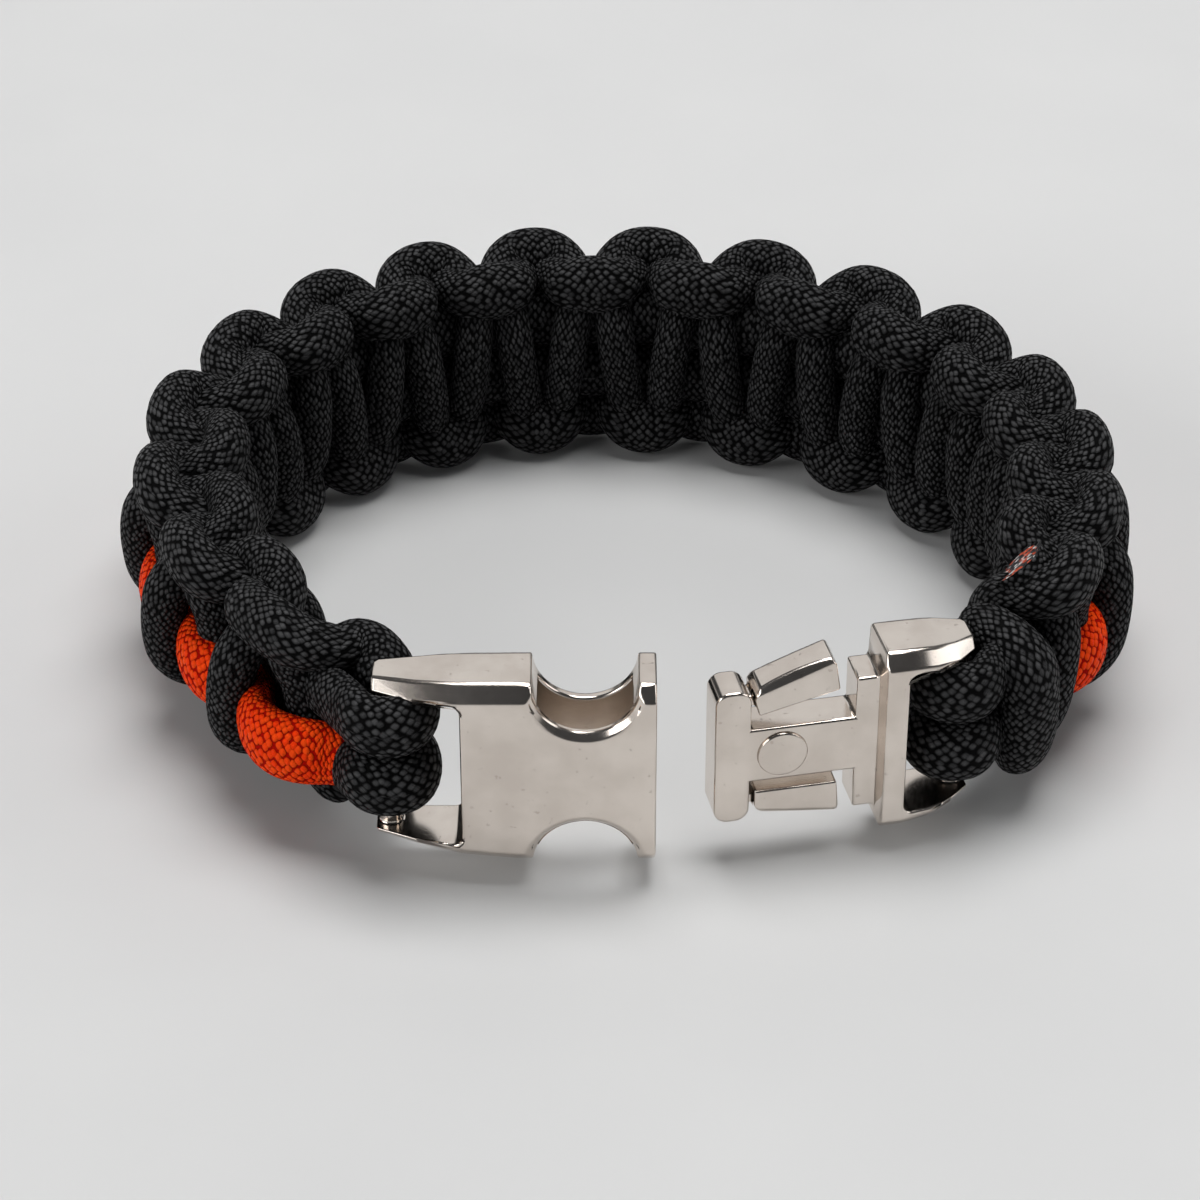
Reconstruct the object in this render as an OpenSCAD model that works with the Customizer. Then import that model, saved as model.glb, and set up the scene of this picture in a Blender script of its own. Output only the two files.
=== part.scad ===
// A knotted cord bracelet with a metal side release buckle, lying on its side.
// Two black strands are knotted round a core, with an orange cord woven along
// the middle of the outer face. The wrist axis is upright, the open buckle is
// at the front (-Y), and the band stands on its lower edge at Z = 0.

/* [Ring] */
// Half length of the oval that the band's centre line follows, side to side
ring_rx = 35.9; // [33:0.1:42]
// Half depth of that oval, front to back
ring_ry = 32.2; // [31:0.1:40]
// Turn of the oval about the upright axis
ring_turn = -17; // [-25:1:0]
// Angle at which the centre line leaves the oval for the socket's bar
socket_leave = 216; // [210:1:220]
// Angle at which the centre line leaves the oval for the plug's bar
plug_leave = -30; // [-36:1:-24]

/* [Weave] */
// Height of the band, from lower edge to upper edge
band_h = 20; // [18:0.5:24]
// Diameter of the cord as bought
cord_d = 4; // [3.6:0.1:4.2]
// Length of band that one half knot takes up
half_pitch = 5; // [4.6:0.1:5.6]
// Distance from the socket's bar to the first half knot
end_length = 7.8; // [7:0.1:8.5]
// Distance from the last half knot to the plug's bar
last_length = 10; // [9.5:0.1:11]
// How far a strand leans along the band while it crosses it
strand_lean = 1; // [0.4:0.1:1.4]
// Clearance round the orange cord
cord_gap = 0.12; // [0.08:0.01:0.2]

/* [Buckle] */
// Height of both buckle halves, across the band
buckle_h = 16.2; // [15.6:0.1:17]
// Thickness of both buckle halves
buckle_t = 5.6; // [5.2:0.1:6.4]
// Length of the socket, bar end to mouth
socket_l = 21.2; // [20.6:0.1:24]
// Depth of the socket's pocket
pocket_l = 13.3; // [13:0.1:14]
// Height of the windows that the cords pass through
window_h = 12.7; // [12.5:0.1:13.2]
// Length of a window together with the bar it ends in
window_l = 6.6; // [6.2:0.1:7]
// Radius of the bars that the cords are looped round
bar_r = 0.85; // [0.7:0.05:1]
// Radius of the finger notches in the socket
notch_r = 3.95; // [3.4:0.05:4.2]
// Width of the lip between the notches and the mouth
lip_l = 1.35; // [1:0.05:1.8]
// Distance of the socket's mouth to the right of the middle
mouth_x = 2.2; // [0.5:0.05:3.5]
// How far behind the oval's front the socket's middle plane stands
socket_in = 1.5; // [1:0.1:3]

/* [Plug] */
// Thickness of the plug's inner part and of its levers
plug_t = 3.2; // [3:0.1:3.4]
// Height of the nose and of the rear bar
nose_h = 11.9; // [11.5:0.1:12.4]
// Length of the nose
nose_l = 2.75; // [2.4:0.05:3]
// Height of the web that carries the rivet
web_h = 4.8; // [4.2:0.1:5.2]
// Length of the web between nose and rear bar
web_l = 8.1; // [8:0.1:9]
// Distance from the rivet's axis to the nose
rivet_to_nose = 2.45; // [2.3:0.05:2.8]
// Length of the rear bar
rear_l = 1.65; // [1.4:0.05:2]
// Length of the frame that holds the cords, shoulder to arm tips
frame_l = 7.9; // [7.6:0.1:9]
// Diameter of the rivet's heads
rivet_head_d = 3.9; // [3.4:0.1:4.2]
// Height of the rivet's heads
rivet_head_h = 0.25; // [0.2:0.05:0.3]
// Diameter of the rivet's shaft
rivet_shaft_d = 2.2; // [1.8:0.1:2.6]
// Gap between the socket's mouth and the plug's nose, as the buckle lies open
open_gap = 4.1; // [3:0.1:6]
// How far behind the oval's front the rivet's axis stands
plug_in = 3.8; // [3:0.1:5]
// Turn of the plug about the upright axis
plug_yaw = 12; // [6:1:16]

/* [Levers] */
// Length of a lever's body
lever_l = 6.4; // [6:0.1:6.6]
// Height of a lever's body next to the nose
lever_h = 2.1; // [1.8:0.1:2.3]
// How much higher the body is at its free end
lever_rise = 0.8; // [0.4:0.1:1]
// Gap between a pressed lever and the web
lever_gap = 0.95; // [0.6:0.05:1.2]
// Radius of the knuckle that a lever turns on
knuckle_r = 0.8; // [0.7:0.05:0.85]
// How far the upper lever stands out of its pressed place
upper_out = 14; // [0:1:14]
// How far the lower lever stands out of its pressed place
lower_out = 0; // [0:1:14]
// Clearance of sliding and turning fits
fit_gap = 0.15; // [0.1:0.01:0.2]

/* [Hidden] */
black = "#1b1b1d";
orange = "#e8431c";
nickel = "#c9c5bf";
deep_nickel = "#b5b0a8";
$fn = 48;

// Height of the middle of the band and of the buckle
mid_z = band_h / 2;

// Centre of the oval, which puts the origin under the middle of the whole bracelet
ring_centre = [0.05, -1.92];

// Bars: along the buckle they stand this far inside the arm tips
bar_inset = bar_r + 0.25;
// and behind the middle plane, where the arms are thinned from the front
bar_back = 0.2 * buckle_t;
socket_x = mouth_x - socket_l;
socket_y = ring_centre[1] - ring_ry + socket_in;
socket_bar = [socket_x + bar_inset, socket_y + bar_back];
plug_x = mouth_x + open_gap + (rivet_to_nose + nose_l) * cos(plug_yaw);
plug_y = ring_centre[1] - ring_ry + plug_in;
frame_x = web_l - rivet_to_nose + rear_l;
plug_bar_x = frame_x + frame_l - bar_inset;
plug_bar = [plug_x + plug_bar_x * cos(plug_yaw) - bar_back * sin(plug_yaw),
            plug_y + plug_bar_x * sin(plug_yaw) + bar_back * cos(plug_yaw)];

// Centre line of the band: from the socket's bar round the back to the plug's
arc_stations = 16;
function on_oval(a) = let (x = ring_rx * cos(a - ring_turn), y = ring_ry * sin(a - ring_turn))
    ring_centre + [x * cos(ring_turn) - y * sin(ring_turn), x * sin(ring_turn) + y * cos(ring_turn)];
stations = concat([socket_bar],
    [for (i = [0 : arc_stations]) on_oval(socket_leave + (plug_leave - socket_leave) * i / arc_stations)],
    [plug_bar]);
function station(i) = i < 0 ? 2 * stations[0] - stations[1]
    : i >= len(stations) ? 2 * stations[len(stations) - 1] - stations[len(stations) - 2]
    : stations[i];
function blend(a, b, c, d, t) = 0.5 * (2 * b + (c - a) * t + (2 * a - 5 * b + 4 * c - d) * t * t
    + (3 * b - a - 3 * c + d) * t * t * t);
fine = 12;
line = [for (i = [0 : fine * (len(stations) - 1)]) let (k = floor(i / fine), t = i / fine - k)
    blend(station(k - 1), station(k), station(k + 1), station(k + 2), t)];
travel = [for (i = 0, s = 0; i < len(line); i = i + 1,
    s = s + (i < len(line) ? norm(line[i] - line[i - 1]) : 0)) s];
line_x = [for (i = [0 : len(line) - 1]) [travel[i], line[i][0]]];
line_y = [for (i = [0 : len(line) - 1]) [travel[i], line[i][1]]];
band_l = travel[len(travel) - 1];

// A place on the band: s along it, n outwards from its centre line, w upwards
function along(s) = s < 0 ? line[0] + s * heading(0)
    : s > band_l ? line[len(line) - 1] + (s - band_l) * heading(band_l)
    : [lookup(s, line_x), lookup(s, line_y)];
function heading(s) = let (c = min(max(s, 0.2), band_l - 0.2),
    d = [lookup(c + 0.2, line_x) - lookup(c - 0.2, line_x),
         lookup(c + 0.2, line_y) - lookup(c - 0.2, line_y)]) d / norm(d);
function place(s, n, w) = let (h = heading(s), c = along(s))
    [c[0] - n * h[1], c[1] + n * h[0], mid_z + w];

// Half knots, an even number of them between the two bars. They are pulled up unevenly:
// share of the half knots, share of the way from the first one to the last
knots_l = band_l - end_length - last_length;
half_knots = 2 * round((knots_l / half_pitch + 1) / 2);
step = knots_l / (half_knots - 1);
knot_pull = [[0, 0], [0.032, 0.043], [0.065, 0.075], [0.274, 0.304], [0.468, 0.488], [0.758, 0.783], [1, 1]];
function knot_s(k) = let (u = (k - 1) / (half_knots - 1))
    end_length + (u < 0 || u > 1 ? u : lookup(u, knot_pull)) * knots_l;

// Sections of a strand, and how far out of the centre line it lies: where it crosses the
// outer and the inner face, and where it bulges along the band's edges on either face
strand_rs = 0.56 * cord_d;
strand_rn = 0.45 * cord_d;
edge_rw = 0.6 * cord_d;
edge_w = band_h / 2 - edge_rw;
outer_cross = 0.92 * cord_d;
inner_cross = 0.85 * cord_d;
outer_bulge = 0.575 * cord_d;
inner_bulge = 0.72 * cord_d;
tucked_bulge = -0.1 * cord_d;
loop_rw = window_h / 4 - fit_gap;
loop_rn = 0.36 * cord_d;
loop_r = bar_r + loop_rn + fit_gap;

// Stations of one half knot of a strand. It crosses the band on one face, then
// turns round the edge and bulges on the other face up to the next crossing.
// at is a share of the step to the next half knot, height a share of edge_w, and
// depth a share of how far out of the centre line it lies there
lean = strand_lean / half_pitch;
crossing = 4;
half_knot = [ // at, height, depth, half thickness, half height
    [1.1 * lean, -0.76, 0.58, strand_rn, edge_rw],
    [0.5 * lean, -0.38, 1, strand_rn, edge_rw],
    [-0.5 * lean, 0.38, 1, strand_rn, edge_rw],
    [-1.1 * lean, 0.76, 0.58, strand_rn, edge_rw],
    [0.05, 0.92, 0.6, strand_rn, edge_rw],
    [0.3, 1, 1, strand_rn, edge_rw],
    [0.7, 1, 1, strand_rn, edge_rw],
    [0.95, 0.92, 0.6, strand_rn, edge_rw]];
bead_split = 3;

// One station as [s, n, w, half thickness, half height]: side +1 crosses on the outer face,
// -1 on the inner face, and the bulges of side -1 are tucked in under the lower edge
function stage(side, k, i) = i == len(half_knot) ? stage(side, k + 1, 0) : let (p = half_knot[i],
    up = (k % 2 == 0 ? 1 : -1) * side,
    out = i < crossing ? (side > 0 ? outer_cross : -inner_cross)
        : side > 0 ? -inner_bulge : up > 0 ? outer_bulge : tucked_bulge)
    [knot_s(k + p[0]), p[2] * out, up * p[1] * edge_w, p[3], p[4]];

// The last turn of the inner strand, over the outer face before the plug
last_turn = [for (p = [[0.75, -0.7, 0.6], [0.95, -0.35, 1], [1, 0.35, 1], [1, 0.75, 0.6]])
    [band_l - last_length + p[0] * step, p[2] * outer_cross, p[1] * edge_w, strand_rn, edge_rw]];

// Beads along one working strand, as [s, n, w, half length, half thickness, half height]
function strung(stages) = [for (i = [0 : len(stages) - 2], j = [0 : bead_split - 1])
    let (m = stages[i] + (stages[i + 1] - stages[i]) * j / bead_split)
        [m[0], m[1], m[2], strand_rs, m[3], m[4]]];
function strand(side) = [for (k = [1 : half_knots], i = [0 : len(half_knot) - 1])
    if (k < half_knots || i < crossing) stage(side, k, i)];
beads = concat(strung(strand(1)), strung(concat(strand(-1), last_turn)));

// How far out of the centre line, in the direction (un, uw), a bead reaches at s
function bead_reach(b, s, un, uw) = let (
    q = 1 - pow((s - b[0]) / b[3], 2), n2 = b[4] * b[4], w2 = b[5] * b[5],
    A = un * un / n2 + uw * uw / w2, B = un * b[1] / n2 + uw * b[2] / w2,
    C = b[1] * b[1] / n2 + b[2] * b[2] / w2 - q, D = B * B - A * C)
    D < 0 ? 0 : (B + sqrt(D)) / A;

// The core that the knots are tied round, as an oval of half sizes
core_rn = 0.55 * cord_d;
core_rw = 1.7 * cord_d;
function core_reach(un, uw) = 1 / sqrt(pow(un / core_rn, 2) + pow(uw / core_rw, 2));

// Directions in which the skin is taken, through points of a flat box
rays = [for (side = [1, -1]) each concat(
    [for (i = [-3 : 3]) side * [1.15 * cord_d, -i * edge_w / 3.4]],
    [for (i = [1, 0, -1]) side * [i * 0.5 * cord_d, -1.25 * edge_w]])];
skin_rings = 4;
weave_from = end_length - 0.75 * step;
weave_to = band_l - last_length + 1.45 * step;
ring_count = round((weave_to - weave_from) / step * skin_rings);
weave_rings = [for (i = [0 : ring_count]) let (s = weave_from + (weave_to - weave_from) * i / ring_count,
    near = [for (b = beads) if (abs(s - b[0]) < b[3]) b])
    [for (ray = rays) let (u = ray / norm(ray),
        r = max(concat([core_reach(u[0], u[1])], [for (b = near) bead_reach(b, s, u[0], u[1])])))
        place(s, r * u[0], r * u[1])]];

// A closed skin over rings of points that all have the same count
module skin(rings) {
    n = len(rings);
    m = len(rings[0]);
    polyhedron(points = [for (ring = rings) each ring],
        faces = concat([[for (j = [m - 1 : -1 : 0]) j]],
            [for (i = [0 : n - 2]) each [for (j = [0 : m - 1]) each let (k = (j + 1) % m)
                [[i * m + j, i * m + k, (i + 1) * m + k], [i * m + j, (i + 1) * m + k, (i + 1) * m + j]]]],
            [[for (j = [0 : m - 1]) (n - 1) * m + j]]));
}

// The loops of core cord round one bar, from the knots to the bar and back. Each is a row of
// upright six sided prisms, hulled two by two
loop_gap = 0.01 * cord_d;
loop_leg = 1.45 * cord_d;
loop_sides = 6;
module bar_loops(at, way) {
    route = concat([[loop_leg, 0.6 * loop_r]], [for (a = [90 : 45 : 270]) loop_r * [cos(a), sin(a)]],
        [[loop_leg, -0.6 * loop_r]]);
    for (w = [-1, 1], i = [0 : len(route) - 2]) hull() for (p = [route[i], route[i + 1]])
        loop_prism(at + way * p[0], p[1], w * (loop_rw + loop_gap / 2));
}

module loop_prism(s, n, w) {
    h = heading(s);
    translate(place(s, n, w)) rotate([0, 0, atan2(h[1], h[0]) + 180 / loop_sides])
        cylinder(r = loop_rn, h = 2 * loop_rw, center = true, $fn = loop_sides);
}

// The orange cord dives under every second crossing and shows over the others,
// pressed to an oval of these half sizes
orange_rn = 0.38 * cord_d;
orange_rw = 0.8 * cord_d;
orange_out = 0.72 * cord_d;
orange_in = 0.05 * cord_d;
orange_w = -0.12 * cord_d;
orange_rings = 4;
orange_sides = 8;
function orange_n(k) = orange_in + (orange_out - orange_in) * pow((1 - cos(180 * k)) / 2, 0.45);
module orange_run(gap) {
    skin([for (i = [2 : orange_rings * half_knots + 2]) let (k = i / orange_rings,
        slope = atan((orange_n(k + 0.1) - orange_n(k - 0.1)) / (0.2 * step)))
        [for (j = [0 : orange_sides - 1]) let (a = 360 * (j + 0.5) / orange_sides,
            n = (orange_rn + gap) * sin(a))
            place(knot_s(k) - n * sin(slope), orange_n(k) + n * cos(slope),
                orange_w + (orange_rw + gap) * cos(a))]]);
}

module black_cord() {
    color(black) render() difference() {
        union() {
            skin(weave_rings);
            bar_loops(0, 1);
            bar_loops(band_l, -1);
        }
        orange_run(cord_gap);
    }
}

module orange_cord() {
    color(orange) orange_run(0);
}

// Solids drawn as an outline: on the face (x, z), from above (x, y) or from the end (y, z)
module face_cut(depth) {
    rotate([90, 0, 0]) linear_extrude(depth, center = true) children();
}

module plan_cut(height) {
    linear_extrude(height, center = true) children();
}

module end_cut(length) {
    rotate([90, 0, 90]) linear_extrude(length) children();
}

module rounded(low, high, r) {
    translate([low[0] + r, low[1]]) square([high[0] - low[0] - 2 * r, high[1] - low[1]]);
    translate([low[0], low[1] + r]) square([high[0] - low[0], high[1] - low[1] - 2 * r]);
    for (x = [low[0] + r, high[0] - r], z = [low[1] + r, high[1] - r]) translate([x, z]) circle(r);
}

// Outer form shared by both halves: the cord end lies at x = 0 and the far end at x = length.
// Shares along the length where the arms narrow and are thinned from the front
arm_form = [ // share of reach, share of half height, share of thickness left
    [0, 0.89, 0.6],
    [0.3, 0.93, 0.8],
    [0.62, 0.975, 0.95],
    [1, 1, 1]];
front_cut = 0.2 * buckle_t;
back_cut = 0.07 * buckle_t;

module buckle_form(length, reach) {
    h = buckle_h / 2;
    t = buckle_t / 2;
    intersection() {
        face_cut(buckle_t) polygon(concat(
            [for (p = arm_form) [p[0] * reach, p[1] * h]], [[length, h], [length, -h]],
            [for (i = [len(arm_form) - 1 : -1 : 0]) [arm_form[i][0] * reach, -arm_form[i][1] * h]]));
        plan_cut(buckle_h) polygon(concat(
            [[back_cut, t], [0, t - back_cut]],
            [for (p = arm_form) [p[0] * reach, t - p[2] * buckle_t]], [[length, -t], [length, t]]));
        end_cut(length) polygon([[-t, -h + front_cut], [-t + front_cut, -h], [t - back_cut, -h],
            [t, -h + back_cut], [t, h - back_cut], [t - back_cut, h], [-t + front_cut, h],
            [-t, h - front_cut]]);
    }
}

// Bevels along the arms' front edges, which follow them as they narrow and thin
bevel_slice = 0.01;
module arm_bevels(reach) {
    corners = [for (p = arm_form) [p[0] * reach, (0.5 - p[2]) * buckle_t, p[1] * buckle_h / 2]];
    edge = concat([1.2 * corners[0] - 0.2 * corners[1]], [for (i = [1 : len(corners) - 1]) corners[i]]);
    for (side = [0, 1], i = [0 : len(edge) - 2]) mirror([0, 0, side]) hull()
        for (p = [edge[i], edge[i + 1]]) translate(p) end_cut(bevel_slice)
            polygon([[-front_cut, front_cut], [-front_cut, -2 * front_cut], [2 * front_cut, front_cut]]);
}

// The window for the cords and the bar that they are looped round
module cord_window(length) {
    face_cut(2 * buckle_t) rounded([-length, -window_h / 2], [length, window_h / 2], window_r);
}

module cord_bar() {
    translate([bar_inset, bar_back, 0]) cylinder(r = bar_r, h = window_h + 2 * bar_r, center = true);
}
window_r = 0.7;

// Female half: a flat pocket, open at the mouth, with a finger notch above and below
pocket_t = plug_t + 2 * rivet_head_h + 2 * fit_gap;
pocket_h = nose_h + 4 * fit_gap;
notch_rim = 0.6;
module socket() {
    color(nickel) translate([socket_x, socket_y, mid_z]) {
        difference() {
            buckle_form(socket_l, 0.5 * socket_l);
            arm_bevels(0.5 * socket_l);
            cord_window(window_l);
            translate([socket_l - pocket_l, -pocket_t / 2, -pocket_h / 2])
                cube([pocket_l + 1, pocket_t, pocket_h]);
            for (z = [-1, 1]) translate([socket_l - lip_l - notch_r, 0, z * buckle_h / 2]) {
                rotate([90, 0, 0]) cylinder(r = notch_r, h = 2 * buckle_t, center = true);
                translate([0, -buckle_t / 2 + notch_rim, 0]) rotate([90, 0, 0])
                    cylinder(r1 = notch_r, r2 = notch_r + 2 * notch_rim, h = 2 * notch_rim);
            }
        }
        cord_bar();
    }
}

// Male half: nose, web and rear bar in one with the frame that holds the cords
nose_r = 1.1;
frame_bar_l = 2.15;
shoulder_l = 0.5;
knuckle_in = 0.6;
knuckle_x = -rivet_to_nose - knuckle_in;
knuckle_z = web_h / 2 + lever_gap + lever_h / 2;
knuckle_w = 0.56 * plug_t;
module at_plug() {
    translate([plug_x, plug_y, mid_z]) rotate([0, 0, plug_yaw]) children();
}

module plug_frame() {
    web_end = web_l - rivet_to_nose;
    color(nickel) at_plug() {
        difference() {
            union() {
                face_cut(plug_t) rounded([-rivet_to_nose - nose_l, -nose_h / 2],
                    [-rivet_to_nose, nose_h / 2], nose_r);
                translate([-rivet_to_nose - 1, -plug_t / 2, -web_h / 2]) cube([web_l + 2, plug_t, web_h]);
                translate([web_end, -plug_t / 2, -nose_h / 2]) cube([rear_l + 1, plug_t, nose_h]);
                translate([frame_x + frame_l, 0, 0]) mirror([1, 0, 0]) difference() {
                    buckle_form(frame_l, frame_l - frame_bar_l);
                    arm_bevels(frame_l - frame_bar_l);
                    cord_window(frame_l - frame_bar_l);
                    shoulder_cut();
                }
            }
            rotate([90, 0, 0]) cylinder(d = rivet_shaft_d + fit_gap, h = 2 * plug_t, center = true);
            for (z = [-1, 1]) translate([knuckle_x, 0, z * knuckle_z]) rotate([90, 0, 0])
                cylinder(r = knuckle_r + fit_gap, h = knuckle_w + 2 * fit_gap, center = true);
        }
        translate([frame_x + frame_l, 0, 0]) mirror([1, 0, 0]) cord_bar();
    }
}

// Slopes from the frame's full section down to the rear bar's
module shoulder_cut() {
    for (z = [-1, 1]) face_cut(2 * buckle_t) polygon([[frame_l + 1, z * nose_h / 2],
        [frame_l, z * nose_h / 2], [frame_l - shoulder_l, z * buckle_h / 2],
        [frame_l - shoulder_l, z * buckle_h], [frame_l + 1, z * buckle_h]]);
    for (y = [-1, 1]) plan_cut(2 * buckle_h) polygon([[frame_l + 1, y * plug_t / 2],
        [frame_l, y * plug_t / 2], [frame_l - shoulder_l, y * buckle_t / 2],
        [frame_l - shoulder_l, y * buckle_t], [frame_l + 1, y * buckle_t]]);
}

// The rivet stands through the web, with a low head on each face
module pivot_rivet() {
    r = rivet_head_d / 2;
    edge = 0.5 * rivet_head_h;
    half = plug_t / 2;
    color(deep_nickel) at_plug() rotate([90, 0, 0]) rotate_extrude() polygon([
        [0, -half - rivet_head_h], [r - edge, -half - rivet_head_h], [r, -half - rivet_head_h + edge],
        [r, -half], [rivet_shaft_d / 2, -half], [rivet_shaft_d / 2, half],
        [r, half], [r, half + rivet_head_h - edge], [r - edge, half + rivet_head_h],
        [0, half + rivet_head_h]]);
}

// One lever, drawn pressed in, above the web: a curved body on a knuckle in the nose, with
// bevels along its top edges
lever_bulge = 0.2;
lever_corner = 0.6;
lever_steps = 6;
lever_start = 0.4;
lever_flare = 0.2;
lever_arm = 0.5;
module lever() {
    low = web_h / 2 + lever_gap;
    x0 = -rivet_to_nose + lever_start;
    x1 = x0 + lever_l;
    start = lever_corner / lever_l;
    half = plug_t / 2;
    function top(t) = low + lever_h + lever_rise * t + lever_bulge * 4 * t * (1 - t);
    intersection() {
        face_cut(plug_t) polygon(concat([[x0, low], [x1, low], [x1 + lever_flare, top(1) - lever_corner]],
            [for (i = [lever_steps : -1 : 0]) let (t = start + (1 - start) * i / lever_steps)
                [x0 + lever_l * t, top(t)]],
            [[x0, top(0) - lever_corner]]));
        translate([x0 - lever_corner, 0, low + lever_h + lever_bulge])
            rotate([0, -atan(lever_rise / lever_l), 0])
            end_cut(lever_l + 3 * lever_corner) polygon([[-half, -2 * lever_h], [half, -2 * lever_h],
                [half, -lever_corner], [half - lever_corner, 0], [half - lever_corner, lever_h],
                [lever_corner - half, lever_h], [lever_corner - half, 0], [-half, -lever_corner]]);
    }
    translate([knuckle_x, -knuckle_w / 2, knuckle_z - 0.56 * knuckle_r])
        cube([x0 + lever_arm - knuckle_x, knuckle_w, 1.12 * knuckle_r]);
    translate([knuckle_x, 0, knuckle_z]) rotate([90, 0, 0])
        cylinder(r = knuckle_r, h = knuckle_w, center = true);
}

module swung_out(angle) {
    translate([knuckle_x, 0, knuckle_z]) rotate([0, -angle, 0]) translate([-knuckle_x, 0, -knuckle_z])
        children();
}

module upper_lever() {
    color(nickel) at_plug() swung_out(upper_out) lever();
}

module lower_lever() {
    color(nickel) at_plug() mirror([0, 0, 1]) swung_out(lower_out) lever();
}

black_cord();
orange_cord();
socket();
plug_frame();
pivot_rivet();
upper_lever();
lower_lever();
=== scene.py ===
import math
import bmesh
import bpy
from mathutils import Matrix, Vector


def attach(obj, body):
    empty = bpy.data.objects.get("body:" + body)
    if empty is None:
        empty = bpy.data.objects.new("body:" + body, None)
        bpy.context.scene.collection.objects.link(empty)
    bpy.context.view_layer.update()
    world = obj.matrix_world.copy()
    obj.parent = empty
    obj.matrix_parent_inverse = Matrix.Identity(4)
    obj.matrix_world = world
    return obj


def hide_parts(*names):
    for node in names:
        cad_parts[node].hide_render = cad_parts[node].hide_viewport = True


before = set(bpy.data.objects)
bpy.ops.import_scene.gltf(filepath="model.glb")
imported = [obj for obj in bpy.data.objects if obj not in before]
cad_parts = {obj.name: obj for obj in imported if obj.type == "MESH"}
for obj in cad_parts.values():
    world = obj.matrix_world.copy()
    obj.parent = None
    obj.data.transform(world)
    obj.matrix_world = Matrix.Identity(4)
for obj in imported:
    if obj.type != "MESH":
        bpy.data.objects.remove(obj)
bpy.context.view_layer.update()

mm = 0.001


# Node trees: a Value wraps an output socket, and arithmetic on it adds Math nodes
class Value:
    def __init__(self, graph, socket):
        self.graph = graph
        self.socket = socket

    def math(self, operation, *values):
        inputs = {number: value for number, value in enumerate(values)}
        return self.graph.node("ShaderNodeMath", {"operation": operation}, inputs)

    def output(self, name):
        return Value(self.graph, self.socket.node.outputs[name])

    def __add__(self, other):
        return self.math("ADD", self, other)

    def __radd__(self, other):
        return self.math("ADD", other, self)

    def __sub__(self, other):
        return self.math("SUBTRACT", self, other)

    def __rsub__(self, other):
        return self.math("SUBTRACT", other, self)

    def __mul__(self, other):
        return self.math("MULTIPLY", self, other)

    def __rmul__(self, other):
        return self.math("MULTIPLY", other, self)

    def __truediv__(self, other):
        return self.math("DIVIDE", self, other)

    def __pow__(self, other):
        return self.math("POWER", self, other)

    def fract(self):
        return self.math("FRACT", self)

    def abs(self):
        return self.math("ABSOLUTE", self)

    def min(self, other):
        return self.math("MINIMUM", self, other)

    def max(self, other):
        return self.math("MAXIMUM", self, other)

    def ramp(self, low, high):
        return self.graph.node("ShaderNodeMapRange", {"interpolation_type": "SMOOTHSTEP"},
                               {"Value": self, "From Min": low, "From Max": high})


class Graph:
    def __init__(self, tree):
        self.tree = tree

    def node(self, kind, settings=None, values=None, out=0):
        made = self.tree.nodes.new(kind)
        for name, setting in (settings or {}).items():
            setattr(made, name, setting)
        for name, value in (values or {}).items():
            if isinstance(value, Value):
                self.tree.links.new(value.socket, made.inputs[name])
            else:
                made.inputs[name].default_value = value
        return Value(self, made.outputs[out]) if len(made.outputs) else made

    def vector(self, operation, first, second):
        return self.node("ShaderNodeVectorMath", {"operation": operation}, {0: first, 1: second})

    def scaled(self, direction, amount):
        return self.node("ShaderNodeVectorMath", {"operation": "SCALE"}, {0: direction, "Scale": amount})

    def parts(self, vector):
        split = self.node("ShaderNodeSeparateXYZ", {}, {0: vector})
        return split, split.output("Y"), split.output("Z")

    def point(self, x, y, z):
        return self.node("ShaderNodeCombineXYZ", {}, {"X": x, "Y": y, "Z": z})

    def mixed(self, factor, first, second):
        return self.node("ShaderNodeMix", {"data_type": "RGBA"}, {0: factor, 6: first, 7: second}, out=2)

    def noise(self, place, scale, detail, roughness=0.5):
        return self.node("ShaderNodeTexNoise", {}, {"Vector": place, "Scale": scale, "Detail": detail,
                                                    "Roughness": roughness})


# Camera, at the photograph's angle to the bracelet, in mm and degrees
camera = {"target": (-2.0, -11.3, 10), "distance": 299.5, "elevation": 34, "lens": 112.65, "sensor": 36}


def makeCamera():
    data = bpy.data.cameras.new("camera")
    data.sensor_fit = "HORIZONTAL"
    data.sensor_width = camera["sensor"]
    data.lens = camera["lens"]
    data.clip_start = 0.01
    data.clip_end = 20
    holder = bpy.data.objects.new("camera", data)
    bpy.context.collection.objects.link(holder)
    rise = math.radians(camera["elevation"])
    back = Vector((0, -math.cos(rise), math.sin(rise)))
    holder.location = (Vector(camera["target"]) + back * camera["distance"]) * mm
    holder.rotation_euler = (-back).to_track_quat("-Z", "Y").to_euler()
    bpy.context.scene.camera = holder


makeCamera()
print("camera placed")


# The line that the band follows round the wrist, from the socket's bar to the plug's, in mm
band = {
    "height": 20.0,
    "ovalCentre": (0.05, -1.92),
    "ovalHalf": (35.9, 32.2),
    "ovalTurned": -17,               # degrees
    "leavesOvalAt": (233, -13),      # degrees on the oval, towards the socket and towards the plug
    "socketBar": (-17.9, -31.5),
    "plugBar": (24.95, -26.29),
    "barRadius": 0.85,
    "stations": 16,                  # steps round the oval
    "pointsBetween": 24,             # points from one station to the next
    "halfKnots": 32,
    # Half knot and its distance from the socket's bar: they were pulled up unevenly
    "knotsAt": ((1, 7.6), (2, 14.2), (3, 19.2), (9.5, 53.9),
                (15.5, 82.0), (24.5, 127.0), (31, 155.6), (33, 165.2)),
}
bodyName = "bracelet"


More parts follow.
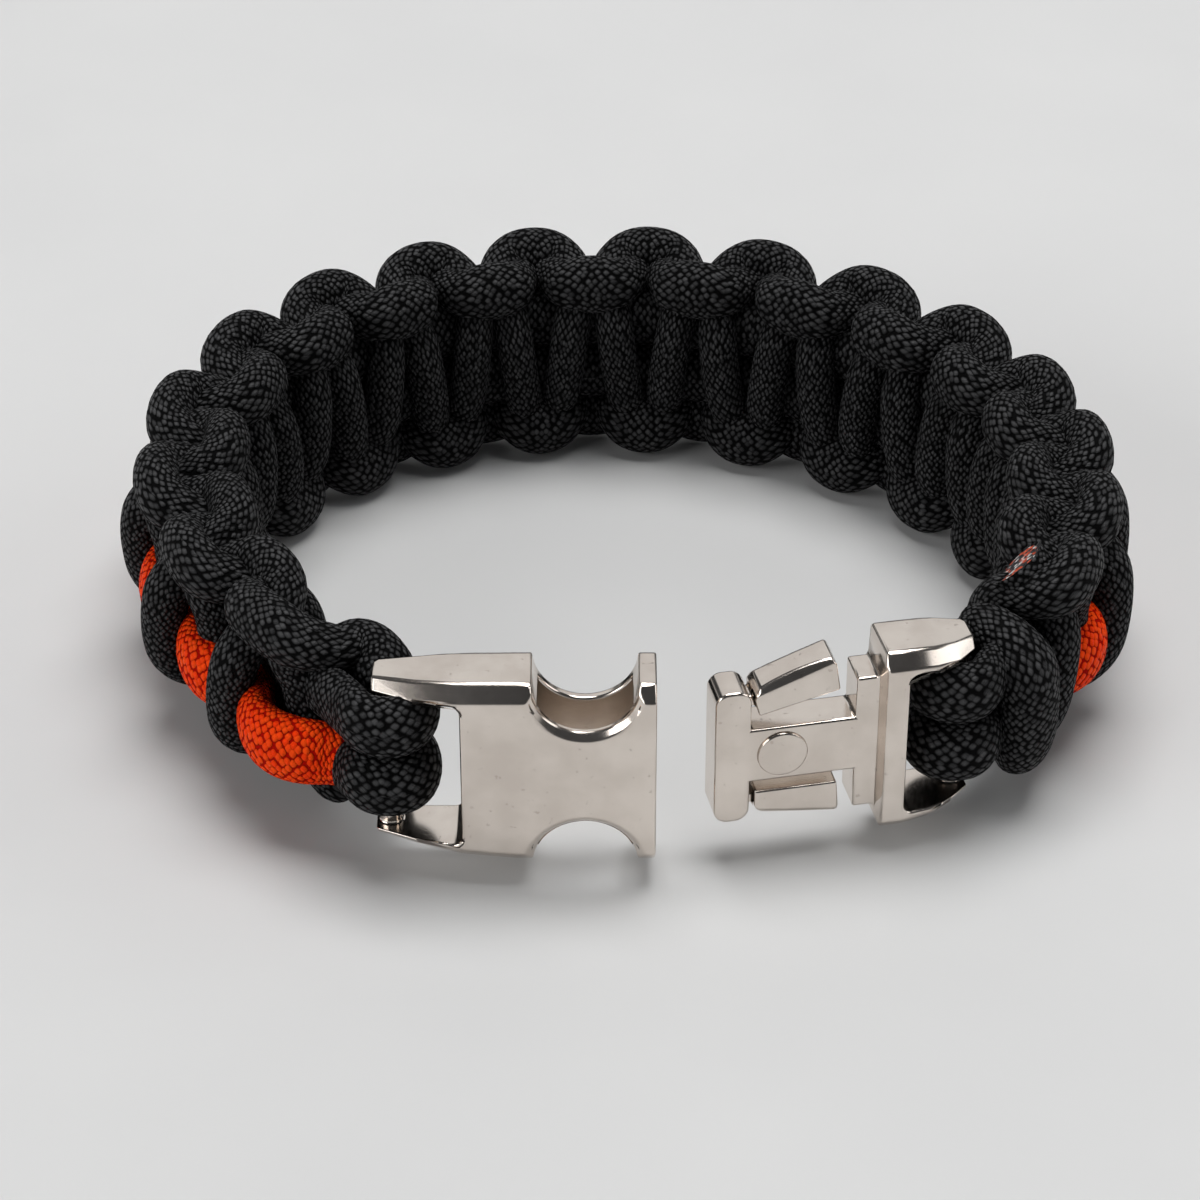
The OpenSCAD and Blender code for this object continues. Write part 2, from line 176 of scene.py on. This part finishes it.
# A smooth curve through both bars and the stations between them
def bandPoints():
    first, last = band["leavesOvalAt"]
    turn = Matrix.Rotation(math.radians(band["ovalTurned"]), 2)
    stations = [Vector(band["socketBar"])]
    for number in range(band["stations"] + 1):
        angle = math.radians(first + (last - first) * number / band["stations"])
        onOval = Vector((band["ovalHalf"][0] * math.cos(angle), band["ovalHalf"][1] * math.sin(angle)))
        stations.append(Vector(band["ovalCentre"]) + turn @ onOval)
    stations.append(Vector(band["plugBar"]))
    stations = [2 * stations[0] - stations[1]] + stations + [2 * stations[-1] - stations[-2]]
    points = []
    for number in range(1, len(stations) - 2):
        a, b, c, d = stations[number - 1:number + 3]
        for part in range(band["pointsBetween"]):
            t = part / band["pointsBetween"]
            points.append(0.5 * (2 * b + (c - a) * t + (2 * a - 5 * b + 4 * c - d) * t ** 2
                                 + (3 * b - a - 3 * c + d) * t ** 3))
    return points + [stations[-2]]


def makeBandLine():
    points = bandPoints()
    curve = bpy.data.curves.new("bandLine", "CURVE")
    curve.dimensions = "3D"
    spline = curve.splines.new("POLY")
    spline.points.add(len(points) - 1)
    for point, place in zip(spline.points, points):
        point.co = (place.x * mm, place.y * mm, band["height"] / 2 * mm, 1)
    line = bpy.data.objects.new("bandLine", curve)
    bpy.context.collection.objects.link(line)
    length = sum((after - before).length for before, after in zip(points, points[1:]))
    return line, length


bandLine, bandLength = makeBandLine()
print("band line of", round(bandLength, 1), "mm")


# Distance of a half knot from the socket's bar. Its number may be a fraction
def knotPlace(number):
    for (low, start), (high, end) in zip(band["knotsAt"], band["knotsAt"][1:]):
        if number <= high:
            break
    return start + (end - start) * (number - low) / (high - low)


# What the cords share unless a piece has its own, in mm
cordSheath = {
    "radius": 2.0,
    "ringSpacing": 0.4,
    "sides": 24,
    "cellsRound": 20,        # cells of the braid round the cord, and the length of one
    "cellLength": 0.68,
    "samePoint": 0.004,      # points nearer than this are merged, which closes the tube lengthwise
}


def keep(graph, geometry, name, kind, value, domain="POINT"):
    return graph.node("GeometryNodeStoreNamedAttribute", {"data_type": kind, "domain": domain},
                      {"Geometry": geometry, "Name": name, "Value": value})


def recall(graph, name, kind):
    return graph.node("GeometryNodeInputNamedAttribute", {"data_type": kind}, {"Name": name})


# One tree sweeps a cord along a path given on the straight band, then bends it round the wrist
def makeCordTree():
    tree = bpy.data.node_groups.new("cordRoundBand", "GeometryNodeTree")
    tree.interface.new_socket("Path", in_out="INPUT", socket_type="NodeSocketGeometry")
    for name, kind in (("Band line", "NodeSocketObject"), ("Cord radius", "NodeSocketFloat"),
                       ("Ring spacing", "NodeSocketFloat"), ("Sides", "NodeSocketInt"),
                       ("Cells round", "NodeSocketFloat"), ("Cell length", "NodeSocketFloat"),
                       ("Sheath", "NodeSocketMaterial")):
        tree.interface.new_socket(name, in_out="INPUT", socket_type=kind)
    tree.interface.new_socket("Cord", in_out="OUTPUT", socket_type="NodeSocketGeometry")
    graph = Graph(tree)
    given = graph.node("NodeGroupInput")
    # The path, smooth and evenly spaced
    path = graph.node("GeometryNodeMeshToCurve", {}, {"Mesh": given})
    path = graph.node("GeometryNodeCurveSplineType", {"spline_type": "CATMULL_ROM"}, {"Curve": path})
    path = graph.node("GeometryNodeResampleCurve", {"mode": "LENGTH"},
                      {"Curve": path, "Length": given.output("Ring spacing")})
    place = graph.node("GeometryNodeInputPosition")
    path = keep(graph, path, "core", "FLOAT_VECTOR", place)
    travelled = graph.node("GeometryNodeSplineParameter", out="Length")
    path = keep(graph, path, "travelled", "FLOAT", travelled)
    # The cord's round section, and the map of its braid
    ring = graph.node("GeometryNodeCurveArc", {"mode": "RADIUS"},
                      {"Resolution": given.output("Sides") + 1, "Radius": given.output("Cord radius"),
                       "Sweep Angle": math.tau})
    ring = keep(graph, ring, "turned", "FLOAT", graph.node("GeometryNodeSplineParameter"))
    cord = graph.node("GeometryNodeCurveToMesh", {}, {"Curve": path, "Profile Curve": ring})
    uv = graph.point(recall(graph, "turned", "FLOAT") * given.output("Cells round"),
                     recall(graph, "travelled", "FLOAT") / given.output("Cell length"), 0)
    cord = keep(graph, cord, "sheath", "FLOAT2", uv, "CORNER")
    # Each section is squeezed to the width, thickness and height that its row of the path gives
    core = recall(graph, "core", "FLOAT_VECTOR")
    reach = graph.vector("MULTIPLY", graph.vector("SUBTRACT", place, core),
                         recall(graph, "section", "FLOAT_VECTOR"))
    cord = graph.node("GeometryNodeSetPosition", {},
                      {"Geometry": cord, "Position": graph.vector("ADD", core, reach)})
    # Bent round the wrist, and straight on past both ends of the line
    along, outwards, upwards = graph.parts(place)
    line = graph.node("GeometryNodeObjectInfo", {}, {"Object": given.output("Band line")}, out="Geometry")
    lineLength = graph.node("GeometryNodeCurveLength", {}, {"Curve": line})
    onLine = along.max(0.0).min(lineLength)
    sample = graph.node("GeometryNodeSampleCurve", {"mode": "LENGTH", "use_all_curves": True},
                        {"Curves": line, "Length": onLine}, out="Position")
    heading = sample.output("Tangent")
    outside = graph.vector("CROSS_PRODUCT", (0.0, 0.0, 1.0), heading)
    bent = graph.vector("ADD", sample, graph.scaled(heading, along - onLine))
    bent = graph.vector("ADD", bent, graph.scaled(outside, outwards))
    bent = graph.vector("ADD", bent, graph.point(0.0, 0.0, upwards))
    cord = graph.node("GeometryNodeSetPosition", {}, {"Geometry": cord, "Position": bent})
    cord = graph.node("GeometryNodeMergeByDistance", {},
                      {"Geometry": cord, "Distance": cordSheath["samePoint"] * mm})
    cord = graph.node("GeometryNodeSetShadeSmooth", {}, {"Geometry": cord, "Shade Smooth": True})
    cord = graph.node("GeometryNodeSetMaterial", {},
                      {"Geometry": cord, "Material": given.output("Sheath")})
    cord = graph.node("GeometryNodeRealizeInstances", {}, {"Geometry": cord})
    graph.node("NodeGroupOutput", {}, {"Cord": cord})
    return tree


cordTree = makeCordTree()


# A path has rows of [along, outwards, upwards, width along, thickness, height], in mm,
# the last three as shares of the cord's radius
def makeCord(name, paths, material, **changes):
    sizes = {**cordSheath, **changes}
    mesh = bpy.data.meshes.new(name)
    places, links, sections = [], [], []
    for path in paths:
        start = len(places)
        places += [Vector(row[:3]) * mm for row in path]
        sections += [row[3:6] for row in path]
        links += [(number, number + 1) for number in range(start, len(places) - 1)]
    mesh.from_pydata(places, links, [])
    section = mesh.attributes.new("section", "FLOAT_VECTOR", "POINT")
    for item, value in zip(section.data, sections):
        item.vector = value
    guide = bpy.data.objects.new(name + "Guide", mesh)
    bpy.context.collection.objects.link(guide)
    modifier = guide.modifiers.new("cord", "NODES")
    modifier.node_group = cordTree
    values = {"Band line": bandLine, "Cord radius": sizes["radius"] * mm,
              "Ring spacing": sizes["ringSpacing"] * mm, "Sides": sizes["sides"],
              "Cells round": float(sizes["cellsRound"]), "Cell length": sizes["cellLength"] * mm,
              "Sheath": material}
    for socket in cordTree.interface.items_tree:
        if socket.name in values:
            modifier[socket.identifier] = values[socket.name]
    cord = asMesh(guide, name)
    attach(cord, bodyName)
    print(name, "has", len(cord.data.polygons), "faces")
    return cord


def asMesh(guide, name):
    bpy.context.view_layer.update()
    depsgraph = bpy.context.evaluated_depsgraph_get()
    mesh = bpy.data.meshes.new_from_object(guide.evaluated_get(depsgraph), depsgraph=depsgraph)
    bpy.data.objects.remove(guide)
    mesh.name = name
    for helper in ("core", "travelled", "turned", "section"):    # only the tree needed these
        if helper in mesh.attributes:
            mesh.attributes.remove(mesh.attributes[helper])
    closeEnds(mesh)
    piece = bpy.data.objects.new(name, mesh)
    bpy.context.collection.objects.link(piece)
    return piece


# A cut end: a rim of the sheath round a sunken face of fibres, in mm
cutEnd = {"rim": 0.35, "sunk": 0.1}


def closeEnds(mesh):
    mesh.materials.append(cutFibres)
    work = bmesh.new()
    work.from_mesh(mesh)
    rims = [edge for edge in work.edges if edge.is_boundary]
    ends = bmesh.ops.holes_fill(work, edges=rims, sides=0)["faces"]
    bmesh.ops.inset_individual(work, faces=ends, thickness=cutEnd["rim"] * mm, depth=-cutEnd["sunk"] * mm)
    fibres = bmesh.ops.poke(work, faces=ends)["faces"]
    for face in fibres:
        face.material_index = 1
    bmesh.ops.recalc_face_normals(work, faces=work.faces)
    work.to_mesh(mesh)
    work.free()


# Materials
def newMaterial(name):
    material = bpy.data.materials.new(name)
    material.use_nodes = True
    material.node_tree.nodes.clear()
    return material, Graph(material.node_tree)


# A braided sheath: pebbles of yarn on a slanted lattice, each darkening with painted shade towards the
# gaps between them.
# Both colours share these
braid = {
    "corners": 2.6,          # 2 makes the pebbles round, more makes them squarer
    "dome": 0.6,             # less makes their tops flatter
    "yarns": 4,              # across a pebble
    "fibres": 5000.0,        # per metre
    "baseShade": 0.3,        # 0 is the darker colour and 1 the lighter one
    "fibreShade": 0.6,       # how much the fibres and the yarns add to it
    "yarnShade": 0.15,
    "yarnHeight": 0.08,      # shares of a pebble's height
    "fibreHeight": 0.1,
    "gapRoughness": 0.8,
    "topSmoother": 0.3,      # how much less rough a pebble's top is than the gaps
}


def makeSheath(name, look):
    material, graph = newMaterial(name)
    u, v = graph.parts(graph.node("ShaderNodeUVMap", {"uv_map": "sheath"}))[:2]
    cells = graph.node("ShaderNodeTexVoronoi",
                       {"voronoi_dimensions": "2D", "feature": "F1", "distance": "MINKOWSKI"},
                       {"Vector": graph.point(u + v, u - v, 0.0), "Scale": 1.0,
                        "Exponent": braid["corners"], "Randomness": look["uneven"]})
    lighter, leaning = graph.parts(cells.output("Color"))[:2]    # both differ from pebble to pebble
    place = graph.node("ShaderNodeTexCoord", out="Object")
    fibres = graph.noise(place, braid["fibres"], 2.0, roughness=0.6)
    leansLeft = leaning.ramp(0.5, 0.5001)                        # half the pebbles' yarns lean each way
    yarn = (((u + v) * braid["yarns"]).fract() * leansLeft
            + ((u - v) * braid["yarns"]).fract() * (1 - leansLeft))
    yarn = 1 - (yarn - 0.5).abs() * 2
    out = cells / look["pebble"]
    dome = (1 - out * out).max(0.0) ** braid["dome"]
    top = dome.ramp(look["gap"], look["gap"] + look["edge"])
    shade = (lighter * look["spread"] + fibres * braid["fibreShade"] + yarn * braid["yarnShade"]
             + braid["baseShade"] - look["spread"] * 0.5)
    colour = graph.mixed(shade.max(0.0).min(1.0), look["shade"], look["top"])
    # Painted shade: each pebble goes from its own colour at the top to the near-black gap colour at its
    # rim, standing in for the shade in the braid's hollows
    colour = graph.mixed(top ** look["crown"], look["paintedGapShade"], colour)
    height = dome + yarn * top * braid["yarnHeight"] + fibres * braid["fibreHeight"]
    bump = graph.node("ShaderNodeBump", {}, {"Height": height, "Distance": look["relief"] * mm,
                                             "Strength": 1.0})
    shader = graph.node("ShaderNodeBsdfPrincipled", {}, {
        "Base Color": colour, "Roughness": braid["gapRoughness"] - top * braid["topSmoother"],
        "Normal": bump, "Specular IOR Level": look["gloss"]})
    graph.node("ShaderNodeOutputMaterial", {}, {"Surface": shader})
    return material


blackLook = {
    "top": (0.072, 0.072, 0.074, 1),         # the lighter pebbles
    "shade": (0.019, 0.019, 0.020, 1),       # the darker ones
    "paintedGapShade": (0.0003, 0.0003, 0.0004, 1),     # painted shade in the gaps between pebbles
    "uneven": 0.52,          # how far the pebbles stray from an even lattice
    "pebble": 0.53,          # half their size, in cells
    # gap, edge and crown shape the painted shade that darkens each pebble from its top down to the gaps
    "gap": 0.16,             # height on a pebble at which its own colour begins
    "edge": 0.84,            # and the height over which it comes up
    "crown": 1.9,            # more than 1 keeps that colour nearer the top
    "spread": 0.9,           # how much the pebbles differ in shade
    "relief": 0.36,          # mm
    "gloss": 0.08,
}
orangeLook = {
    "top": (1.0, 0.078, 0.006, 1),
    "shade": (0.98, 0.026, 0.002, 1),
    # painted shade in the gaps between pebbles
    "paintedGapShade": (0.38, 0.003, 0.0003, 1),
    "uneven": 0.5,
    "pebble": 0.55,
    "gap": 0.08,
    "edge": 0.6,
    "crown": 1.0,
    "spread": 0.7,
    "relief": 0.26,
    "gloss": 0.03,
}
blackSheath = makeSheath("blackSheath", blackLook)
orangeSheath = makeSheath("orangeSheath", orangeLook)


# Where a cord was cut and melted, its dark fibres show, with painted glints in orange and white
cutLook = {
    "fibres": 2600.0,                        # per metre
    "black": (0.02, 0.02, 0.022, 1),
    "orange": (0.55, 0.08, 0.03, 1),
    "whiteGlint": (0.55, 0.52, 0.50, 1),
    "orangeFrom": (0.55, 0.60),              # a number from 0 to 1 picks which fibres are black and which are painted glints
    "whiteGlintFrom": (0.82, 0.86),
    "relief": 0.3,                           # mm
    "roughness": 0.45,
}


def makeCutFibres():
    material, graph = newMaterial("cutFibres")
    place = graph.node("ShaderNodeTexCoord", out="Object")
    cells = graph.node("ShaderNodeTexVoronoi", {}, {"Vector": place, "Scale": cutLook["fibres"]})
    pick = graph.parts(cells.output("Color"))[0]
    # Painted glints: the orange and white fibres stand in for light catching the cut end
    colour = graph.mixed(pick.ramp(*cutLook["orangeFrom"]), cutLook["black"], cutLook["orange"])
    colour = graph.mixed(pick.ramp(*cutLook["whiteGlintFrom"]), colour, cutLook["whiteGlint"])
    bump = graph.node("ShaderNodeBump", {}, {"Height": cells, "Distance": cutLook["relief"] * mm,
                                             "Strength": 1.0})
    shader = graph.node("ShaderNodeBsdfPrincipled", {}, {
        "Base Color": colour, "Roughness": cutLook["roughness"], "Normal": bump})
    graph.node("ShaderNodeOutputMaterial", {}, {"Surface": shader})
    return material


cutFibres = makeCutFibres()
print("sheaths ready")


# The weave: how the strands lie, in mm from the band's middle
weave = {
    "cord": 4.0,
    "edgeHeight": 7.2,       # where the strands turn round the band's edges
    "outerCross": 3.65,      # how far out the front strand crosses the band
    "innerCross": 3.4,       # and how far in the back one does
    "outerBump": 2.3,        # how far out the back strand lies along the upper edge
    "innerBump": 3.1,        # and how far in the front one lies along both edges
    "nearSocket": 0.35,      # share of that depth beside the socket, growing over the first knots
    "growing": 7,            # half knots in which that share grows by 1
    "lastCross": 0.62,       # share of outerCross at the front strand's last crossing
    "tuckedBump": -0.4,      # the back strand's depth along the lower edge
    "underOrange": (0.85, 0.35, 0.3, 0.35),      # shares of outerCross where the orange cord lies over it
}
# One half knot: distance along in half knots, height and depth as shares of those above, then
# the section as in a path. The first four rows cross the band, the others run along its edge
crossRows = 4
halfKnot = (
    (0.22, -0.76, 0.58, 0.86, 0.88, 0.92),
    (0.10, -0.38, 1.0, 0.90, 0.92, 1.0),
    (-0.06, 0.34, 1.0, 0.90, 0.92, 1.0),
    (-0.14, 0.72, 0.5, 0.86, 0.88, 0.92),
    (-0.20, 0.86, 0.0, 0.85, 0.92, 0.92),
    (0.02, 0.94, 0.78, 0.95, 0.95, 1.14),
    (0.30, 0.98, 1.0, 1.0, 0.95, 1.32),
    (0.70, 0.98, 1.0, 1.0, 0.95, 1.32),
    (0.98, 0.94, 0.78, 0.95, 0.95, 1.14),
    (1.20, 0.86, 0.0, 0.85, 0.92, 0.92),
)
# Rows from the socket's bar to the first half knot, in mm from the bar
firstTop = (
    (0.6, -1.2, 2.2, 0.8, 0.8, 0.9),
    (2.0, -2.5, 4.3, 0.9, 0.9, 1.0),
    (4.2, -2.8, 5.4, 0.95, 0.92, 1.05),
    (5.7, -2.0, 5.9, 0.9, 0.92, 1.0),
    (6.3, 0.0, 6.0, 0.85, 0.92, 0.92),
)
firstBottom = (
    (0.6, -1.2, -2.2, 0.8, 0.8, 0.9),
    (2.8, -2.0, -4.0, 0.9, 0.9, 1.0),
    (5.2, -2.2, -5.4, 0.9, 0.9, 1.0),
)
# Rows past the last half knot, in mm from it: the front strand's cut end and the back one's last turn
cutTail = (
    (-0.8, 1.2, 5.4, 1.15, 0.9, 0.95),
    (-0.6, -0.1, 6.6, 1.35, 1.0, 0.95),
    (-0.35, -1.5, 8.0, 1.45, 1.05, 1.0),
)
lastTurn = (
    (1.2, -0.2, -6.4, 0.85, 0.92, 0.92),
    (3.6, 2.2, -5.8, 1.1, 0.92, 0.95),
    (4.6, 3.6, -2.8, 1.35, 0.92, 1.0),
    (5.0, 3.6, 2.4, 1.35, 0.92, 1.0),
    (5.1, 2.2, 4.4, 1.2, 0.90, 0.95),
    (4.8, -0.3, 5.0, 1.0, 0.90, 0.9),
    (4.4, -2.2, 4.2, 0.9, 0.80, 0.9),
)


# Side 1 is the front strand, which crosses on the outer face, and side -1 is the back one
def strandPath(side):
    front = side == 1
    count = band["halfKnots"]
    across = weave["outerCross"] if front else -weave["innerCross"]
    rows = [list(row) for row in (firstTop if front else firstBottom)]
    for number in range(1, count + 1):
        rising = side if number % 2 == 0 else -side
        along = -weave["innerBump"] if front else weave["outerBump" if rising == 1 else "tuckedBump"]
        for index, (at, height, depth, *section) in enumerate(halfKnot):
            crossing = index < crossRows
            if number == count and not crossing:
                break
            out = depth * (across if crossing else along)
            if front and crossing and number % 2:
                out *= weave["underOrange"][index]
            elif front and crossing and number == count:
                out *= weave["lastCross"]
            elif front and not crossing:
                out *= min(1, weave["nearSocket"] + number / weave["growing"])
            rows.append([knotPlace(number + at), out, rising * height * weave["edgeHeight"], *section])
    last = knotPlace(count)
    return rows + [[last + distance, *rest] for distance, *rest in (cutTail if front else lastTurn)]


def makeBlackWeave():
    for name, side in (("frontStrand", 1), ("backStrand", -1)):
        strand = makeCord(name, [strandPath(side)], blackSheath)
        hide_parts("black_cord")


makeBlackWeave()


# The orange cord lies over the odd crossings and dives under the even ones
orangeRun = {
    "out": (0.45, 2.8),      # mm from the band's middle, under a crossing and over one
    "thick": (0.5, 0.90),    # the same two places, as shares of the cord's radius
    "tall": (1.05, 1.46),
    "flat": 0.36,            # less makes the stretches that show longer
    "lower": -1.5,           # mm from half the band's height
    "firstBulge": 1.7,       # how much further out it swells beside the first crossing
    "bulgesAt": 1.3,         # in half knots, as its length to each side
    "bulgeLength": 0.8,
    "steps": 4,              # rows for each half knot
    "cellsRound": 18,
    "cellLength": 0.62,
}


def orangePath():
    rows = []
    steps = orangeRun["steps"]
    for number in range(1, steps * band["halfKnots"] + steps // 2 + 1):     # to half a knot past the last
        knot = number / steps
        wave = ((1 - math.cos(math.pi * knot)) / 2) ** orangeRun["flat"]
        out, thick, tall = (under + (over - under) * wave for under, over in
                            (orangeRun["out"], orangeRun["thick"], orangeRun["tall"]))
        fromBulge = (knot - orangeRun["bulgesAt"]) / orangeRun["bulgeLength"]
        out += orangeRun["firstBulge"] * max(0, 1 - fromBulge ** 2)
        rows.append([knotPlace(knot), out, orangeRun["lower"], thick, thick, tall])
    return rows


orangeCord = makeCord("orangeCord", [orangePath()], orangeSheath,
                      cellsRound=orangeRun["cellsRound"], cellLength=orangeRun["cellLength"])
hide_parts("orange_cord")


# The core: cords inside the knots, looped round both bars of the buckle, in mm
core = {
    "loopHeight": 5.3,
    "loopThickness": 3.0,
    "spread": 2.7,                   # of the two loops on a bar, above and below their middle
    "raised": {1: 1.2, -1: 0.6},     # above the band's middle, at the socket's bar and at the plug's
    "levelAt": 8,                    # from the bar, where an outer leg is down at the band's middle
    "offBar": 0.15,                  # between a bar and the loops on it
    "turnStep": 30,                  # degrees
    # Along a leg, in mm from the bar: share of the loop's height and of its spread
    "legs": ((16.0, 0.7, 0.7), (11.0, 0.75, 0.75), (7.5, 0.8, 0.85), (4.5, 0.95, 1.0), (2.0, 1.0, 1.0)),
    "outerLeg": 0.95,                # share of the turn's radius at the bar
    "outerLegSinks": 0.22,           # for each mm from the bar
    "innerLeg": 0.75,
    "innerStarts": 12,               # the two cords inside the knots, from the socket's bar
    "innerStops": 10,                # and from the plug's
    "innerStep": 4,
    "innerOut": -0.7,
    "innerSection": (0.95, 0.95, 1.4),
    "cellsRound": 18,
}


# Way is 1 from the socket's bar and -1 from the plug's.
# Level is 1 for the upper loop on a bar and -1 for the lower one
def loopPath(at, way, level):
    radius = band["barRadius"] + core["loopThickness"] / 2 + core["offBar"]
    thick = core["loopThickness"] / weave["cord"]
    tall = core["loopHeight"] / weave["cord"]
    raised, apart = core["raised"][way], level * core["spread"]
    outerLeg = [[at + way * distance, core["outerLeg"] * radius - core["outerLegSinks"] * distance,
                 raised * (1 - distance / core["levelAt"]) + apart * spread, thick, thick, tall * height]
                for distance, height, spread in core["legs"]]
    innerLeg = [[at + way * distance, -core["innerLeg"] * radius, raised + apart * spread,
                 thick, thick, tall * height]
                for distance, height, spread in core["legs"]]
    turn = [[at + way * radius * math.cos(math.radians(angle)), radius * math.sin(math.radians(angle)),
             raised + apart, thick, thick, tall] for angle in range(90, 271, core["turnStep"])]
    return outerLeg + turn + innerLeg[::-1]


def makeCore():
    paths = [loopPath(at, way, level) for at, way in ((0, 1), (bandLength, -1)) for level in (-1, 1)]
    stops = range(core["innerStarts"], int(bandLength) - core["innerStops"], core["innerStep"])
    inner = [[[distance, core["innerOut"], level * core["spread"], *core["innerSection"]]
              for distance in stops] for level in (-1, 1)]
    loops = makeCord("coreLoops", paths + inner, blackSheath, cellsRound=core["cellsRound"])
    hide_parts("black_cord")


makeCore()


# Plated metal: each casting is a merged copy of its solid with its edges softened
metal = {
    # Width of the softened edges, in mm
    "edge": {"socket": 0.21, "plug_frame": 0.21, "pivot_rivet": 0.08, "upper_lever": 0.18,
             "lower_lever": 0.18},
    "edgeFaces": 3,
    "samePoint": 0.03,       # mm
    "flat": 1.0,             # degrees between two faces, below which they are one
    "sharp": 28,             # and past which their edge is softened
    "names": {"socket": "socketCasting", "plug_frame": "plugCasting", "pivot_rivet": "rivet",
              "upper_lever": "upperLever", "lower_lever": "lowerLever"},
    "bodies": {"upper_lever": "upper_release", "lower_lever": "lower_release"},
    # Noise, per metre: slow clouding, fine grain, and the specks whose peaks are pits
    "cloud": 260.0, "grain": 2600.0, "specks": 1500.0,
    "dull": (0.67, 0.60, 0.54, 1), "bright": (0.78, 0.71, 0.645, 1), "pit": (0.36, 0.31, 0.27, 1),
    "brightFrom": (0.3, 0.7), "pitFrom": (0.68, 0.74), "pitColour": 0.4,
    "relief": 0.012, "cloudHeight": 0.3, "grainHeight": 0.06, "pitDepth": 0.2,
    "roughness": 0.11, "cloudRoughness": 0.08, "grainRoughness": 0.05,
}


def makePlatedMetal():
    material, graph = newMaterial("platedMetal")
    place = graph.node("ShaderNodeTexCoord", out="Object")
    cloud = graph.noise(place, metal["cloud"], 4.0)
    grain = graph.noise(place, metal["grain"], 3.0)
    specks = graph.noise(place, metal["specks"], 2.0)
    pits = specks.ramp(*metal["pitFrom"])
    colour = graph.mixed(cloud.ramp(*metal["brightFrom"]), metal["dull"], metal["bright"])
    colour = graph.mixed(pits * metal["pitColour"], colour, metal["pit"])
    height = cloud * metal["cloudHeight"] + grain * metal["grainHeight"] - pits * metal["pitDepth"]
    bump = graph.node("ShaderNodeBump", {}, {"Height": height, "Distance": metal["relief"] * mm,
                                             "Strength": 1.0})
    roughness = cloud * metal["cloudRoughness"] + grain * metal["grainRoughness"] + metal["roughness"]
    shader = graph.node("ShaderNodeBsdfPrincipled", {}, {
        "Base Color": colour, "Metallic": 1.0, "Roughness": roughness, "Normal": bump})
    graph.node("ShaderNodeOutputMaterial", {}, {"Surface": shader})
    return material


platedMetal = makePlatedMetal()


def makeCasting(node):
    piece = bpy.data.objects.new(metal["names"][node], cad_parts[node].data.copy())
    bpy.context.collection.objects.link(piece)
    work = bmesh.new()
    work.from_mesh(piece.data)
    bmesh.ops.remove_doubles(work, verts=work.verts, dist=metal["samePoint"] * mm)
    bmesh.ops.dissolve_limit(work, angle_limit=math.radians(metal["flat"]),
                             verts=work.verts, edges=work.edges)
    for face in work.faces:
        face.smooth = True
    for edge in work.edges:
        edge.smooth = not edge.is_manifold or edge.calc_face_angle(0) < math.radians(metal["sharp"])
    work.to_mesh(piece.data)
    work.free()
    bevel = piece.modifiers.new("softEdges", "BEVEL")
    bevel.width = metal["edge"][node] * mm
    bevel.segments = metal["edgeFaces"]
    bevel.limit_method = "ANGLE"
    bevel.angle_limit = math.radians(metal["sharp"])
    bevel.use_clamp_overlap = False          # or the shortest edges would thin it to nothing
    flatten = piece.modifiers.new("flatFaces", "WEIGHTED_NORMAL")
    flatten.keep_sharp = True
    piece.data.materials.clear()
    piece.data.materials.append(platedMetal)
    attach(piece, metal["bodies"].get(node, bodyName))
    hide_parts(node)


for nodeName in metal["names"]:
    makeCasting(nodeName)
print("castings finished")
bpy.data.objects.remove(bandLine)            # it only guided the cords


# Floor, light and room, in metres and watts
studio = {
    "floorSize": 2.2,
    "floorClouds": 30.0,             # per metre
    "floorShades": ((0.60, 0.60, 0.60, 1), (0.66, 0.66, 0.655, 1)),
    "floorRoughness": 0.7,
    # Name, place, size and power of each light
    "lights": (
        ("above", (0.05, 0.10, 0.7), (0.5, 0.4), 4.4),
        ("behind", (0.0, 1.12, 0.75), (1.95, 0.68), 2.9),
        ("leftSide", (-0.99, -0.54, 0.54), (0.9, 0.63), 6.5),
        ("rightSide", (1.12, 0.04, 0.61), (0.9, 0.63), 2.9),
    ),
    "lightsFace": (0, -0.02, 0.01),
    "horizon": (0.56, 0.56, 0.56, 1),
    "room": (0.05, 0.052, 0.055, 1),
    "roomFrom": (0.06, 0.22),        # height of a direction over which the horizon gives way to the room
}


def makeFloor():
    bpy.ops.mesh.primitive_plane_add(size=studio["floorSize"])
    floor = bpy.context.object
    floor.name = "floor"
    material, graph = newMaterial("floor")
    place = graph.node("ShaderNodeTexCoord", out="Object")
    cloud = graph.noise(place, studio["floorClouds"], 3.0)
    shader = graph.node("ShaderNodeBsdfPrincipled", {}, {
        "Base Color": graph.mixed(cloud, *studio["floorShades"]), "Roughness": studio["floorRoughness"]})
    graph.node("ShaderNodeOutputMaterial", {}, {"Surface": shader})
    floor.data.materials.append(material)


def makeLights():
    for name, place, size, watts in studio["lights"]:
        light = bpy.data.lights.new(name, "AREA")
        light.shape = "RECTANGLE"
        light.size, light.size_y = size
        light.energy = watts
        holder = bpy.data.objects.new(name, light)
        holder.location = place
        facing = Vector(studio["lightsFace"]) - Vector(place)
        holder.rotation_euler = facing.to_track_quat("-Z", "Y").to_euler()
        bpy.context.collection.objects.link(holder)


# A dim room above a pale horizon
def makeWorld():
    world = bpy.data.worlds.new("studio")
    world.use_nodes = True
    world.node_tree.nodes.clear()
    graph = Graph(world.node_tree)
    rise = graph.parts(graph.node("ShaderNodeTexCoord", out="Generated"))[2]
    colour = graph.mixed(rise.ramp(*studio["roomFrom"]), studio["horizon"], studio["room"])
    glow = graph.node("ShaderNodeBackground", {}, {"Color": colour, "Strength": 1.0})
    graph.node("ShaderNodeOutputWorld", {}, {"Surface": glow})
    bpy.context.scene.world = world


makeFloor()
makeLights()
makeWorld()
bpy.context.scene.view_settings.view_transform = "Standard"
print("floor and lights placed")
